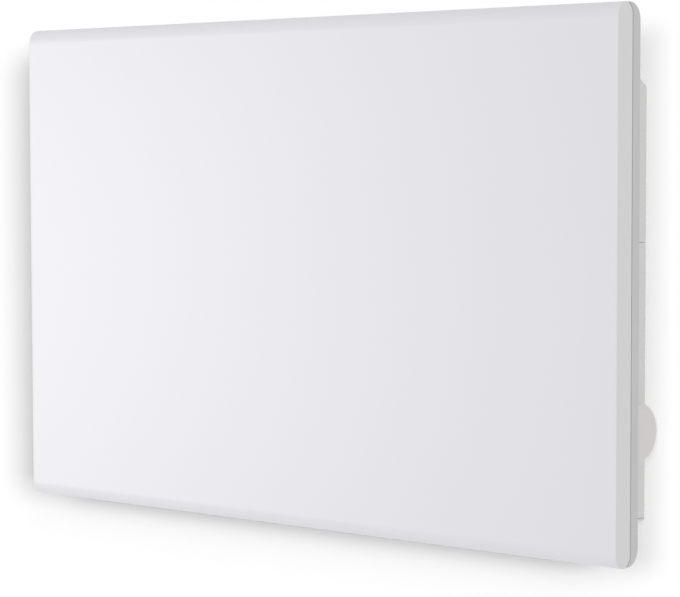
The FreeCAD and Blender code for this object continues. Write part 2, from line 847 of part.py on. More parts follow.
def pole_points():
    # Middle of each terminal, from left to right
    x0, _, z0, z1 = terminal_span()
    y = y_tray + terminal_depth / 2
    return [vec(x0 + terminal_pitch * (i + 0.5), y, (z0 + z1) / 2) for i in range(terminal_poles)]


def terminal_block():
    x0, x1, z0, z1 = terminal_span()
    block = box(x0, x1, y_tray, y_tray + terminal_depth, z0, z1)
    cuts = []
    for pole in pole_points():
        cuts.append(rod(vec(pole.x, pole.y, z0), Z, entry_radius, terminal_height))
        cuts.append(rod(pole, Y, terminal_screw + rod_fit, terminal_depth / 2))
    for x in (x0 + terminal_pitch, x1 - terminal_pitch):
        cuts.append(box(x - terminal_groove / 2, x + terminal_groove / 2,
                        y_tray + terminal_depth / 2, y_tray + terminal_depth, z0, z1))
    return block.cut(cuts)


def terminal_screws():
    screws = []
    for pole in pole_points():
        seat = pole + Y * (entry_radius + terminal_sink)
        top = pole.y + terminal_depth / 2 - terminal_sink
        screw = rod(seat, Y, terminal_screw, top - seat.y)
        half = terminal_sink / 2
        slot = box(seat.x - terminal_screw, seat.x + terminal_screw, top - terminal_sink, top,
                   seat.z - half, seat.z + half)
        screws.append(screw.cut(slot))
    return Part.makeCompound(screws)


def earth_point():
    return vec(pole_points()[-1].x, y_tray, z_lid + earth_rise)


def earth_stud():
    foot = earth_point()
    y_end = foot.y + terminal_depth
    nut = prism_y(hexagon(foot.x, foot.z, stud_nut), foot.y, y_end - stud_radius)
    return fuse([nut, rod(foot, Y, stud_radius, terminal_depth)])


def cable_gland():
    # Threaded tube through the lid, with a hexagon and a tapered mouth below
    low = z_bottom - gland_drop
    tube = rod(vec(x_gland, y_gland, z_bottom), Z, gland_tube, lid_thickness + 2 * nut_height)
    collar = prism_z(hexagon(x_gland, y_gland, gland_nut), z_bottom - gland_drop / 2, z_bottom)
    mouth = Part.makeCone(gland_tube, gland_nut / 2, gland_drop / 2, vec(x_gland, y_gland, low), Z)
    length = gland_drop + lid_thickness + 2 * nut_height
    return fuse([tube, collar, mouth]).cut(rod(vec(x_gland, y_gland, low), Z, gland_bore, length))


def gland_locknut():
    nut = prism_z(hexagon(x_gland, y_gland, gland_nut), z_lid, z_lid + nut_height)
    return nut.cut(rod(vec(x_gland, y_gland, z_lid), Z, gland_tube + shaft_fit, nut_height))


def wire_grommets():
    rings = []
    for z in (z_element, z_live):
        seat = vec(x_control, y_element, z)
        lips = [rod(start, X, grommet_flange, bend) for start in (seat - X * bend, seat + X * moulded)]
        ring = fuse([rod(seat, X, grommet_seat, moulded)] + lips)
        rings.append(ring.cut(rod(seat - X * bend, X, wire_radius + rod_fit, moulded + 2 * bend)))
    return Part.makeCompound(rings)


def wires():
    # Each wire runs from one terminal's end to the next
    poles = [pole + Z * (terminal_height / 2) for pole in pole_points()]
    rise = Z * wire_rise
    neutral = vec(x_rod_end + pin_length, y_element, z_element)
    upright = vec(x_upright, y_element, z_element + rod_radius + pin_length)
    x_blade = x_hanger_right + hanger_sheet + 2 * pin_length
    low_blade = vec(x_blade, y_element, z_cutout - cutout_radius / 2)
    high_blade = vec(x_blade, y_element, z_live)
    x_body = x_wall - thermostat_length
    sensor_out = vec(x_body + pin_length, y_element, z_knob + thermostat_height / 2 + pin_length)
    sensor_in = vec(x_body - pin_length, y_knob + thermostat_width / 4, z_knob)
    x_switch = x_side - switch_length - pin_length
    feed = vec(x_switch, y_switch, z_switch - switch_height / 4)
    fed = vec(x_switch, y_switch, z_switch + switch_height / 4)
    x_run = x_control + moulded + 2 * wire_bend
    earth = earth_point()
    return {
        "wire_neutral": [neutral, vec(poles[0].x, neutral.y, neutral.z), poles[0] + rise, poles[0]],
        "wire_cutout": [low_blade, vec(upright.x, low_blade.y, low_blade.z), upright],
        "wire_live": [high_blade, vec(sensor_out.x, high_blade.y, high_blade.z), sensor_out],
        "wire_feed": [poles[1], vec(poles[1].x, poles[1].y, feed.z - wire_rise),
                      vec(poles[1].x, feed.y, feed.z), feed],
        "wire_switched": [fed, vec(x_run, fed.y, fed.z), vec(x_run, sensor_in.y, fed.z - wire_rise),
                          vec(x_run, sensor_in.y, sensor_in.z), sensor_in],
        "wire_earth": [poles[2], vec(earth.x, poles[2].y, earth.z - stud_nut / 2)],
    }


# Wall bracket
def bracket_rail():
    # Lipped channel at x = 0: screw holes in the web, seats for the pins in both sides
    half = rail_width / 2
    side = [
        (half, 0, bracket_sheet),
        (half, -rail_depth, bracket_sheet),
        (half - rail_lip, -rail_depth, 0),
        (half - rail_lip, bracket_sheet - rail_depth, 0),
        (half - bracket_sheet, bracket_sheet - rail_depth, 0),
        (half - bracket_sheet, -bracket_sheet, 0),
    ]
    channel = prism_z(side + [(-u, w, r) for u, w, r in reversed(side)], rail_bottom, rail_top)
    cuts = [rod(vec(0, -bracket_sheet, z), Y, hole_radius, bracket_sheet)
            for z in (-hole_span_z / 2, hole_span_z / 2)]
    seat = hang_radius + hang_fit
    low = -hang_spread / 2
    high = hang_spread / 2
    y_rear = seat - pin_seat
    for z in (low, high):
        cuts.append(rod(vec(-half, -pin_seat, z), X, seat, rail_width))
    cuts.append(box(-half, half, -pin_seat - seat, y_rear, low, low + hang_drop))
    cuts.append(box(-half, half, -rail_depth, y_rear, low + hang_drop, low + hang_drop + hang_mouth))
    cuts.append(box(-half, half, -rail_depth, -pin_seat, high - seat, high + seat))
    for z in (-crossbar_spread / 2, crossbar_spread / 2):
        cuts.append(rod(vec(-half, -tab_depth / 2, z), X, rivet_radius + rod_fit, rail_width))
    return channel.cut(cuts)


def rail_at(x):
    return bracket_rail().translated(vec(x, 0, 0))


def crossbar_ends():
    x = x_rail - rail_width / 2
    return [(-x, 1), (x, -1)]


def bracket_crossbars():
    bars = []
    for z in (-crossbar_spread / 2, crossbar_spread / 2):
        z0 = z - crossbar_height / 2
        z1 = z + crossbar_height / 2
        (x0, _), (x1, _) = crossbar_ends()
        half = [
            (x1, 0, 0),
            (x1, -tab_depth, 0),
            (x1 - bracket_sheet, -tab_depth, 0),
            (x1 - bracket_sheet, -bracket_sheet, bend),
        ]
        bar = prism_z(half + [(-u, w, r) for u, w, r in reversed(half)], z0, z1)
        holes = [rod(vec(x0, -tab_depth / 2, z), X, rivet_radius + rod_fit, x1 - x0)]
        bars.append(bar.cut(holes))
    return Part.makeCompound(bars)


def bracket_rivets():
    rivets = []
    for z in (-crossbar_spread / 2, crossbar_spread / 2):
        for x, inward in crossbar_ends():
            axis = X * inward
            seat = vec(x, -tab_depth / 2, z)
            shank = rod(seat - axis * bracket_sheet, axis, rivet_radius, 2 * bracket_sheet)
            head = rod(seat + axis * bracket_sheet, axis, rivet_head, rivet_radius)
            tail = rod(seat - axis * bracket_sheet, -axis, rivet_tail, rivet_radius / 2)
            rivets.append(fuse([shank, head, tail]))
    return Part.makeCompound(rivets)


def bracket_lock():
    # Moulded slide in the rail at x = 0, its tongue in front of the upper pin
    half = rail_width / 2 - bracket_sheet - lock_clearance
    y0 = bracket_sheet - rail_depth + lock_clearance
    y1 = -bracket_sheet - lock_clearance
    z_pin = hang_spread / 2
    z0 = z_pin + hang_radius + lock_clearance
    body = box(-half, half, y0, y1, z0, lock_top)
    body = round_edges(body, lock_wall, lambda b: b.ZMin > lock_top - lock_wall and b.XLength > lock_wall)
    pocket = box(lock_wall - half, half - lock_wall, y0 + lock_tongue, y1,
                 z0 + lock_wall, lock_top - 2 * lock_wall)
    z_tip = z_pin + hang_radius + lock_release - lock_travel
    tongue = box(-half, half, y0, y0 + lock_tongue, z_tip, z0)
    return fuse([body.cut(pocket), tongue])


def lock_at(x):
    return bracket_lock().translated(vec(x, 0, 0))


def hanging_bracket(x, z):
    # Folded plate on the duct's back, two ears that carry the pin
    inner = rail_width / 2 + ear_gap
    outer = inner + ear_sheet
    y_tip = ear_reach - pin_seat
    half_z = ear_height / 2
    corners = [
        (-outer, y_tip, 0),
        (-outer, y_duct, ear_sheet),
        (outer, y_duct, ear_sheet),
        (outer, y_tip, 0),
        (inner, y_tip, 0),
        (inner, y_duct + ear_sheet, 0),
        (-inner, y_duct + ear_sheet, 0),
        (-inner, y_tip, 0),
    ]
    plate = prism_z(corners, -half_z, half_z)
    hole = rod(vec(-outer, -pin_seat, 0), X, hang_radius + shaft_fit, 2 * outer)
    return plate.cut(hole).translated(vec(x, 0, z))


def hanging_brackets():
    return Part.makeCompound([hanging_bracket(x, z) for x, z in hang_places()])


def hanging_pins():
    reach = rail_width / 2 + ear_gap + 2 * ear_sheet
    pins = [rod(vec(x - reach, -pin_seat, z), X, hang_radius, 2 * reach) for x, z in hang_places()]
    return Part.makeCompound(pins)


# Screws and feet
def bumper_seats():
    return [vec(x, y_duct, z_bottom + bumper_rise) for x in (-x_bumper, x_bumper)]


def wall_bumpers():
    feet = []
    for seat in bumper_seats():
        foot = Part.makeCone(bumper_radius, bumper_neck, bracket_room, seat, Y)
        neck = rod(seat - Y * sheet, Y, bumper_neck, sheet)
        start = seat - Y * (sheet + bumper_neck)
        barb = Part.makeCone(bumper_neck / 2, bumper_barb, bumper_neck, start, Y)
        feet.append(fuse([foot, neck, barb]))
    return Part.makeCompound(feet)


def screws(seats, axis):
    return Part.makeCompound([pan_screw(seat, axis) for seat in seats])


def end_cap_screws():
    return screws(cap_screw_seats(-1) + cap_screw_seats(1), -Y)


def casing_screws():
    length = 2 * sheet + screw_radius
    return Part.makeCompound([pan_screw(seat, -Y, length) for seat in casing_screw_seats()])


def nodes():
    parts = {
        "front_panel": front_panel(),
        "end_cap_right": end_cap(),
        "end_cap_left": mirrored(end_cap()),
        "back_tray": back_tray(),
        "control_housing": control_housing(),
        "side_cover_right": cover(x_control, x_side, z_seam, upper_bosses(), x_side),
        "side_cover_left": cover(-x_side, x_cover, z_bottom, left_bosses(), -x_side),
        "terminal_lid": terminal_lid(),
        "duct_back": duct_back(),
        "outlet_grille": grille(z_casing, 1),
        "inlet_grille": grille(z_bottom, -1),
        "heat_shield": heat_shield(),
        "element_fins": element_fins(),
        "element_rod": element_rod(),
        "element_bushes": element_bushes(),
        "element_hanger_left": hanger_left(),
        "element_hanger_right": hanger_right(),
        "thermal_cutout": thermal_cutout(),
        "thermostat_body": thermostat_body(),
        "thermostat_nut": thermostat_nut(),
        "thermostat_shaft": thermostat_shaft(),
        "thermostat_knob": thermostat_knob(),
        "switch_body": switch_body(),
        "mains_rocker": mains_rocker(),
        "terminal_block": terminal_block(),
        "terminal_screws": terminal_screws(),
        "earth_stud": earth_stud(),
        "cable_gland": cable_gland(),
        "gland_locknut": gland_locknut(),
        "wire_grommets": wire_grommets(),
        "bracket_rail_left": rail_at(-x_rail),
        "bracket_rail_right": rail_at(x_rail),
        "bracket_crossbars": bracket_crossbars(),
        "bracket_rivets": bracket_rivets(),
        "bracket_lock_left": lock_at(-x_rail),
        "bracket_lock_right": lock_at(x_rail),
        "hanging_brackets": hanging_brackets(),
        "hanging_pins": hanging_pins(),
        "wall_bumpers": wall_bumpers(),
        "end_cap_screws": end_cap_screws(),
        "casing_screws": casing_screws(),
        "cover_screws": screws(cover_screw_seats(), Y),
        "lid_screws": screws(lid_screw_seats(), Z),
    }
    for name, points in wires().items():
        parts[name] = route(points, wire_radius)
    return parts


def main():
    os.makedirs("parts", exist_ok=True)
    for name, shape in nodes().items():
        shape.exportStep(os.path.join("parts", name + ".step"))
        print(name, len(shape.Solids), round(shape.Volume), shape.isValid())


main()
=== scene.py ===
import math

import bmesh
import bpy
from mathutils import Euler, Matrix, Vector


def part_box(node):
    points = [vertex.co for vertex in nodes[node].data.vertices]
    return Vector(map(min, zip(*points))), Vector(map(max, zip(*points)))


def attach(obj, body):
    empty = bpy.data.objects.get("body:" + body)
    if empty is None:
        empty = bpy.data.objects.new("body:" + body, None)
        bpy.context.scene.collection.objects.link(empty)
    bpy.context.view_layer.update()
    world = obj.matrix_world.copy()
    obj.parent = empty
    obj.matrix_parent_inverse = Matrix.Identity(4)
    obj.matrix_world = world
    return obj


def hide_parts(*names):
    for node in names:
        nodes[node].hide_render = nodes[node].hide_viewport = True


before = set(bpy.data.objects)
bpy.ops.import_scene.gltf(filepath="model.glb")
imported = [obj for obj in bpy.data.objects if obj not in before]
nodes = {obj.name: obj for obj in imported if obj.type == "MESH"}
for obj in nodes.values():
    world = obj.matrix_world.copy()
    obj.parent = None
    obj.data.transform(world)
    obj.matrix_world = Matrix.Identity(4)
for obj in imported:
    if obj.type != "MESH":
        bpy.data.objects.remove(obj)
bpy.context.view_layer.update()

scene = bpy.context.scene
mm = 0.001
white = (1, 1, 1, 1)

# sockets of the Mix node: the two inputs and the output for colours and vectors, the inputs for numbers
colourA, colourB, colourOut = 6, 7, 2
vectorA, vectorB, vectorOut = 4, 5, 1
numberA, numberB = 2, 3


# Shared helpers
def hexToLinear(code):
    # sRGB hex to linear light
    channels = [int(code[i:i + 2], 16) / 255 for i in (1, 3, 5)]
    linear = [c / 12.92 if c <= 0.04045 else ((c + 0.055) / 1.055) ** 2.4 for c in channels]
    return (*linear, 1.0)


def addNode(owner, kind, settings=None, links=None):
    # owner is a material or the world
    node = owner.node_tree.nodes.new(kind)
    for key, value in (settings or {}).items():
        if isinstance(key, int) or key in node.inputs:
            node.inputs[key].default_value = value
        else:
            setattr(node, key, value)
    for key, socket in (links or {}).items():
        owner.node_tree.links.new(socket, node.inputs[key])
    return node


def newMaterial(name):
    material = bpy.data.materials.new(name)
    material.use_nodes = True
    return material, material.node_tree.nodes["Principled BSDF"]


def perMetre(sizeMm):
    return 1000 / sizeMm  # texture scale for a pattern of that size


def joinFinish(material, shader, tone, gloss, bump):
    links = material.node_tree.links
    links.new(tone, shader.inputs["Base Color"])
    links.new(gloss, shader.inputs["Roughness"])
    links.new(bump, shader.inputs["Normal"])


def makeFinish(look):
    # two close tones, uneven gloss and a shallow bump, all in the object's own coordinates
    material, shader = newMaterial(look["name"])
    shader.inputs["Metallic"].default_value = look.get("metallic", 0.0)
    if "ior" in look:  # metals keep the default
        shader.inputs["IOR"].default_value = look["ior"]
    place = addNode(material, "ShaderNodeTexCoord").outputs["Object"]
    stretch = addNode(material, "ShaderNodeMapping", {"Scale": look.get("stretch", (1, 1, 1))},
                      {"Vector": place})
    cloud = addNode(material, "ShaderNodeTexNoise", {"Scale": perMetre(look["toneMm"]), "Detail": 3.0},
                    {"Vector": stretch.outputs[0]})
    tone = addNode(material, "ShaderNodeMix",
                   {"data_type": "RGBA", colourA: hexToLinear(look["colour"]),
                    colourB: hexToLinear(look["shade"])},
                   {0: cloud.outputs["Fac"]})
    grain = addNode(material, "ShaderNodeTexNoise", {"Scale": perMetre(look["grainMm"]), "Detail": 2.0},
                    {"Vector": stretch.outputs[0]})
    smoothest, roughest = look["roughness"]
    gloss = addNode(material, "ShaderNodeMapRange", {"To Min": smoothest, "To Max": roughest},
                    {"Value": grain.outputs["Fac"]})
    bump = addNode(material, "ShaderNodeBump",
                   {"Strength": look["bump"], "Distance": look["grainDepthMm"] * mm},
                   {"Height": grain.outputs["Fac"]})
    joinFinish(material, shader, tone.outputs[colourOut], gloss.outputs[0], bump.outputs[0])
    return material


# Finishes, each named for the real material and how its surface was made. Mould, tool and flow marks
# are really a few tenths of a millimetre or finer, and are drawn coarser so that they show.
powderCoat = makeFinish({  # baked polyester powder on steel: even satin with a very faint orange peel
    "name": "powderCoatedSteel_satin", "colour": "#F1F0F5", "shade": "#EFEEF3", "toneMm": 140, "grainMm": 3.2,
    "grainDepthMm": 0.02, "bump": 0.25, "roughness": (0.36, 0.42), "ior": 1.5})
trayPaint = makeFinish({  # matt wet paint on the inner tray: a flat, slightly darker grey white
    "name": "wetPaintedSteel_matt", "colour": "#DCDCDC", "shade": "#D8D8D8", "toneMm": 90, "grainMm": 1.8,
    "grainDepthMm": 0.03, "bump": 0.3, "roughness": (0.55, 0.65), "ior": 1.5})
capAbs = makeFinish({  # ABS from a finely blasted mould: neutral white close to the paint beside it
    "name": "mouldedAbs_blasted", "colour": "#F0F0F0", "shade": "#EEEEEE", "toneMm": 70, "grainMm": 1.1,
    "grainDepthMm": 0.02, "bump": 0.25, "roughness": (0.44, 0.52), "ior": 1.53})
casingAbs = makeFinish({  # ABS from a spark-eroded mould: a slightly greyer white with a fine dull grain
    "name": "mouldedAbs_fineGrain", "colour": "#ECECEB", "shade": "#E9E9E8", "toneMm": 70, "grainMm": 1.1,
    "grainDepthMm": 0.03, "bump": 0.35, "roughness": (0.48, 0.58), "ior": 1.53})
knobAbs = makeFinish({  # ABS from a polished mould: the same white, a touch warmer and smoother
    "name": "mouldedAbs_satin", "colour": "#EEEBE9", "shade": "#EBE8E6", "toneMm": 30, "grainMm": 1.4,
    "grainDepthMm": 0.015, "bump": 0.25, "roughness": (0.34, 0.42), "ior": 1.53})
zincPlate = makeFinish({  # bright zinc plating with clear passivate: cool silver, cloudy gloss
    "name": "zincPlatedSteel_bright", "colour": "#C9CDD2", "shade": "#B9BCC0", "toneMm": 9, "grainMm": 2.2,
    "grainDepthMm": 0.02, "bump": 0.25, "roughness": (0.24, 0.38), "metallic": 1.0})
finAluminium = makeFinish({  # extruded aluminium: pale metal with die lines along its length
    "name": "extrudedAluminium_dieLines", "colour": "#D3D4D6", "shade": "#C2C3C6", "toneMm": 14,
    "grainMm": 1.2, "grainDepthMm": 0.03, "bump": 0.5, "roughness": (0.32, 0.48), "metallic": 1.0,
    "stretch": (0.04, 1, 1)})
sheathSteel = makeFinish({  # stainless sheath after baking: brown and straw stains over dull metal
    "name": "stainlessSheath_heatStained", "colour": "#8E8072", "shade": "#6E665E", "toneMm": 16,
    "grainMm": 1.5, "grainDepthMm": 0.02, "bump": 0.3, "roughness": (0.35, 0.5), "metallic": 1.0})
steatite = makeFinish({  # pressed and fired steatite: chalky cream with pin holes
    "name": "steatiteCeramic_unglazed", "colour": "#EAE3D3", "shade": "#DCD2BE", "toneMm": 4, "grainMm": 0.8,
    "grainDepthMm": 0.05, "bump": 0.5, "roughness": (0.7, 0.85), "ior": 1.6})
phenolic = makeFinish({  # compression-moulded phenolic: near black with faint mottling
    "name": "mouldedPhenolic_black", "colour": "#1C1B1A", "shade": "#262422", "toneMm": 5, "grainMm": 0.9,
    "grainDepthMm": 0.02, "bump": 0.3, "roughness": (0.35, 0.5), "ior": 1.6})
nylonBlack = makeFinish({  # injection-moulded nylon: clean black with a soft shine
    "name": "mouldedNylon_blackSatin", "colour": "#17181A", "shade": "#1D1E20", "toneMm": 8, "grainMm": 1.0,
    "grainDepthMm": 0.01, "bump": 0.25, "roughness": (0.28, 0.36), "ior": 1.53})
creamPbt = makeFinish({  # glass-filled PBT: cream, dull, with faint flow streaks
    "name": "mouldedPbt_cream", "colour": "#E2DCCB", "shade": "#D6CFBC", "toneMm": 12, "grainMm": 0.9,
    "grainDepthMm": 0.03, "bump": 0.35, "roughness": (0.5, 0.62), "ior": 1.55})
greyNylon = makeFinish({  # injection-moulded nylon in mid grey, slightly waxy
    "name": "mouldedNylon_grey", "colour": "#8C8F92", "shade": "#85888B", "toneMm": 10, "grainMm": 1.0,
    "grainDepthMm": 0.02, "bump": 0.3, "roughness": (0.42, 0.52), "ior": 1.53})
brass = makeFinish({  # turned brass: warm metal with fine tool marks
    "name": "turnedBrass_toolMarks", "colour": "#D9BE7C", "shade": "#C7A964", "toneMm": 3, "grainMm": 0.6,
    "grainDepthMm": 0.02, "bump": 0.4, "roughness": (0.25, 0.4), "metallic": 1.0})
rubber = makeFinish({  # moulded EPDM rubber: charcoal, dusty and matt
    "name": "mouldedEpdm_matt", "colour": "#2B2B2C", "shade": "#353536", "toneMm": 6, "grainMm": 0.7,
    "grainDepthMm": 0.04, "bump": 0.5, "roughness": (0.75, 0.9), "ior": 1.5})
blueSleeve = makeFinish({  # extruded PVC: an even blue sleeve with a waxy shine
    "name": "extrudedPvc_blue", "colour": "#2C4F9E", "shade": "#284891", "toneMm": 12, "grainMm": 1.0,
    "grainDepthMm": 0.01, "bump": 0.2, "roughness": (0.4, 0.5), "ior": 1.53})
brownSleeve = makeFinish({  # extruded PVC: an even brown sleeve with a waxy shine
    "name": "extrudedPvc_brown", "colour": "#5C3A22", "shade": "#53341E", "toneMm": 12, "grainMm": 1.0,
    "grainDepthMm": 0.01, "bump": 0.2, "roughness": (0.4, 0.5), "ior": 1.53})
earthSleeve = makeFinish({  # extruded PVC: a green sleeve broken up by yellow
    "name": "extrudedPvc_greenYellow", "colour": "#4E8A2E", "shade": "#D8C42C", "toneMm": 5, "grainMm": 1.0,
    "grainDepthMm": 0.01, "bump": 0.2, "roughness": (0.4, 0.5), "ior": 1.53})
printInk = makeFinish({  # pad-printed ink: matt white, a little thin over the black
    "name": "padPrintInk_white", "colour": "#E9E9E6", "shade": "#D5D5D2", "toneMm": 1.5, "grainMm": 0.4,
    "grainDepthMm": 0.01, "bump": 0.3, "roughness": (0.5, 0.65), "ior": 1.5})


def galvanisedFinish():
    # hot-dip galvanised sheet: grey metal in crystal spangles, each with its own feathering and gloss
    look = {"name": "galvanisedSteel_spangle", "dark": "#A6AAAE", "light": "#CACDCF", "spangleMm": 7.0,
            "edgeWarp": 0.0015, "featherMm": 3.0, "featherComb": (0.2, 1, 1), "featherShare": 0.42,
            "roughness": (0.34, 0.5), "tilt": 0.12, "tiltMm": 0.05}
    material, shader = newMaterial(look["name"])
    place = addNode(material, "ShaderNodeTexCoord").outputs["Object"]
    warp = addNode(material, "ShaderNodeTexNoise", {"Scale": perMetre(look["spangleMm"] / 2)},
                   {"Vector": place})
    bent = addNode(material, "ShaderNodeMix", {"data_type": "VECTOR", 0: look["edgeWarp"]},
                   {vectorA: place, vectorB: warp.outputs["Color"]})
    cell = addNode(material, "ShaderNodeTexVoronoi", {"Scale": perMetre(look["spangleMm"])},
                   {"Vector": bent.outputs[vectorOut]})
    level = addNode(material, "ShaderNodeSeparateColor", None, {"Color": cell.outputs["Color"]})
    heading = addNode(material, "ShaderNodeVectorMath", {"operation": "SCALE", "Scale": math.tau},
                      {0: cell.outputs["Color"]})
    turn = addNode(material, "ShaderNodeVectorRotate", {"rotation_type": "EULER_XYZ"},
                   {"Vector": place, "Rotation": heading.outputs[0]})
    comb = addNode(material, "ShaderNodeMapping", {"Scale": look["featherComb"]}, {"Vector": turn.outputs[0]})
    feather = addNode(material, "ShaderNodeTexNoise", {"Scale": perMetre(look["featherMm"]), "Detail": 3.0},
                      {"Vector": comb.outputs[0]})
    shine = addNode(material, "ShaderNodeMix", {0: look["featherShare"]},
                    {numberA: level.outputs["Red"], numberB: feather.outputs["Fac"]})
    tone = addNode(material, "ShaderNodeMix",
                   {"data_type": "RGBA", colourA: hexToLinear(look["dark"]),
                    colourB: hexToLinear(look["light"])},
                   {0: shine.outputs[0]})
    smoothest, roughest = look["roughness"]
    gloss = addNode(material, "ShaderNodeMapRange", {"To Min": smoothest, "To Max": roughest},
                    {"Value": level.outputs["Green"]})
    bump = addNode(material, "ShaderNodeBump", {"Strength": look["tilt"], "Distance": look["tiltMm"] * mm},
                   {"Height": cell.outputs["Distance"]})
    shader.inputs["Metallic"].default_value = 1.0
    joinFinish(material, shader, tone.outputs[colourOut], gloss.outputs[0], bump.outputs[0])
    return material


galvanised = galvanisedFinish()
print("finishes made")

finishOf = {
    powderCoat: ["front_panel"],
    trayPaint: ["back_tray"],
    capAbs: ["end_cap_left", "end_cap_right"],
    casingAbs: ["control_housing", "side_cover_left", "side_cover_right", "terminal_lid"],
    knobAbs: ["thermostat_knob"],
    galvanised: ["duct_back", "outlet_grille", "inlet_grille", "bracket_rail_left", "bracket_rail_right",
                 "bracket_crossbars", "hanging_brackets", "element_hanger_left", "element_hanger_right"],
    zincPlate: ["hanging_pins", "bracket_rivets", "end_cap_screws", "casing_screws", "cover_screws",
                "lid_screws", "thermostat_nut", "thermostat_shaft"],
    finAluminium: ["element_fins", "heat_shield"],
    sheathSteel: ["element_rod"],
    steatite: ["element_bushes"],
    phenolic: ["switch_body", "thermal_cutout"],
    nylonBlack: ["mains_rocker"],
    creamPbt: ["thermostat_body", "terminal_block"],
    greyNylon: ["cable_gland", "gland_locknut", "bracket_lock_left", "bracket_lock_right"],
    brass: ["terminal_screws", "earth_stud"],
    rubber: ["wall_bumpers", "wire_grommets"],
    blueSleeve: ["wire_neutral"],
    brownSleeve: ["wire_cutout", "wire_live", "wire_feed", "wire_switched"],
    earthSleeve: ["wire_earth"],
}
for finish, names in finishOf.items():
    for name in names:
        for materialSlot in nodes[name].material_slots:
            materialSlot.material = finish
print("finished nodes:", sum(len(names) for names in finishOf.values()))


# Fasteners, turned and carved, each set where its CAD solid lies
weldMm = 0.001  # points this close are one
creaseDegrees = 32  # edges that turn more stay sharp


def islandsOf(node):
    # the points of each separate solid in a node
    bm = bmesh.new()
    bm.from_mesh(node.data)
    bmesh.ops.remove_doubles(bm, verts=bm.verts, dist=weldMm * mm)
    groups = []
    for start in bm.verts:
        if start.tag:
            continue
        start.tag = True
        group, stack = [], [start]
        while stack:
            vert = stack.pop()
            group.append(vert.co.copy())
            for edge in vert.link_edges:
                other = edge.other_vert(vert)
                if not other.tag:
                    other.tag = True
                    stack.append(other)
        groups.append(group)
    bm.free()
    return groups


def turned(profile, steps):
    # revolves (radius, height) points in mm, from the lower end to the top, both on the axis
    bm = bmesh.new()
    line = [bm.verts.new((radius * mm, 0, height * mm)) for radius, height in profile]
    edges = [bm.edges.new(pair) for pair in zip(line, line[1:])]
    bmesh.ops.spin(bm, geom=line + edges, axis=(0, 0, 1), angle=math.tau, steps=steps)
    bmesh.ops.remove_doubles(bm, verts=bm.verts, dist=weldMm * mm)
    bmesh.ops.recalc_face_normals(bm, faces=bm.faces)
    return bm


def dome(radius, foot, rise, steps):
    # quarter ellipse from the rim to the crown
    turns = [math.pi / 2 * i / steps for i in range(1, steps)]
    return [(radius * math.cos(t), foot + rise * math.sin(t)) for t in turns] + [(0, foot + rise)]


def carved(blank, cutter):
    # the first mesh less the second
    pair = []
    for source in (blank, cutter):
        mesh = bpy.data.meshes.new("blank")
        source.to_mesh(mesh)
        source.free()
        pair.append(bpy.data.objects.new("blank", mesh))
        scene.collection.objects.link(pair[-1])
    cut = pair[0].modifiers.new("cut", "BOOLEAN")
    cut.object = pair[1]
    cut.operation = "DIFFERENCE"
    cut.solver = "EXACT"
    graph = bpy.context.evaluated_depsgraph_get()
    result = bpy.data.meshes.new_from_object(pair[0].evaluated_get(graph))
    for item in pair:
        bpy.data.objects.remove(item)
    return result


def smoothPiece(name, bm, finish, body):
    mesh = bpy.data.meshes.new(name)
    bm.to_mesh(mesh)
    bm.free()
    mesh.shade_smooth()
    mesh.set_sharp_from_angle(angle=math.radians(creaseDegrees))
    mesh.materials.append(finish)
    piece = bpy.data.objects.new(name, mesh)
    scene.collection.objects.link(piece)
    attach(piece, body)
    return piece


def copiesAt(mesh, places):
    bm = bmesh.new()
    for place in places:
        first = len(bm.verts)
        bm.from_mesh(mesh)
        bm.verts.ensure_lookup_table()
        bmesh.ops.transform(bm, matrix=place, verts=bm.verts[first:])
    return bm


def headPlaces(node, facing, headMm):
    # a frame at the seat of each fastener, with Z out of its head,
    # and the length behind the seat in mm, which is the same for all
    places = []
    for group in islandsOf(node):
        out = Vector(facing(group[0]))
        middle = (Vector(map(min, *group)) + Vector(map(max, *group))) / 2
        along = [point.dot(out) for point in group]
        seat = max(along) - headMm * mm
        turn = out.to_track_quat("Z", "Y").to_matrix().to_4x4()
        places.append(Matrix.Translation(middle + out * (seat - middle.dot(out))) @ turn)
    return places, (seat - min(along)) / mm


screwLook = {"head": 3.4, "height": 2.0, "rim": 0.6, "shank": 1.6, "tip": 1.2,  # mm, head and shank by radius
             "recess": 1.9, "wing": 0.45, "recessDepth": 1.4,  # mm, recess and wing by half their width
             "floorShare": 0.5, "steps": 36, "domeSteps": 8}


def panHeadScrew(look, length):
    # pan head with a tapered cross recess
    top, rim = look["height"], look["rim"]
    profile = [(0, -length), (look["shank"] / 2, -length), (look["shank"], look["tip"] - length),
               (look["shank"], 0), (look["head"], 0), (look["head"], rim)]
    profile += dome(look["head"], rim, top - rim, look["domeSteps"])
    floor = top - look["recessDepth"]
    recess = bmesh.new()
    turns = [Matrix.Rotation(math.pi / 2 * i, 3, "Z") for i in range(4)]
    rings = []
    # the first ring stands clear above the head
    for height, share in ((top + floor, 2 - look["floorShare"]), (top, 1), (floor, look["floorShare"])):
        long, wide = look["recess"] * share, look["wing"] * share
        wing = [Vector((long, -wide, height)), Vector((long, wide, height)), Vector((wide, wide, height))]
        rings.append([recess.verts.new(turn @ point * mm) for turn in turns for point in wing])
    for upper, lower in zip(rings, rings[1:]):
        for i in range(len(upper)):
            recess.faces.new((upper[i - 1], lower[i - 1], lower[i], upper[i]))
    recess.faces.new(rings[0])
    recess.faces.new(reversed(rings[-1]))
    bmesh.ops.recalc_face_normals(recess, faces=recess.faces)
    return carved(turned(profile, look["steps"]), recess)


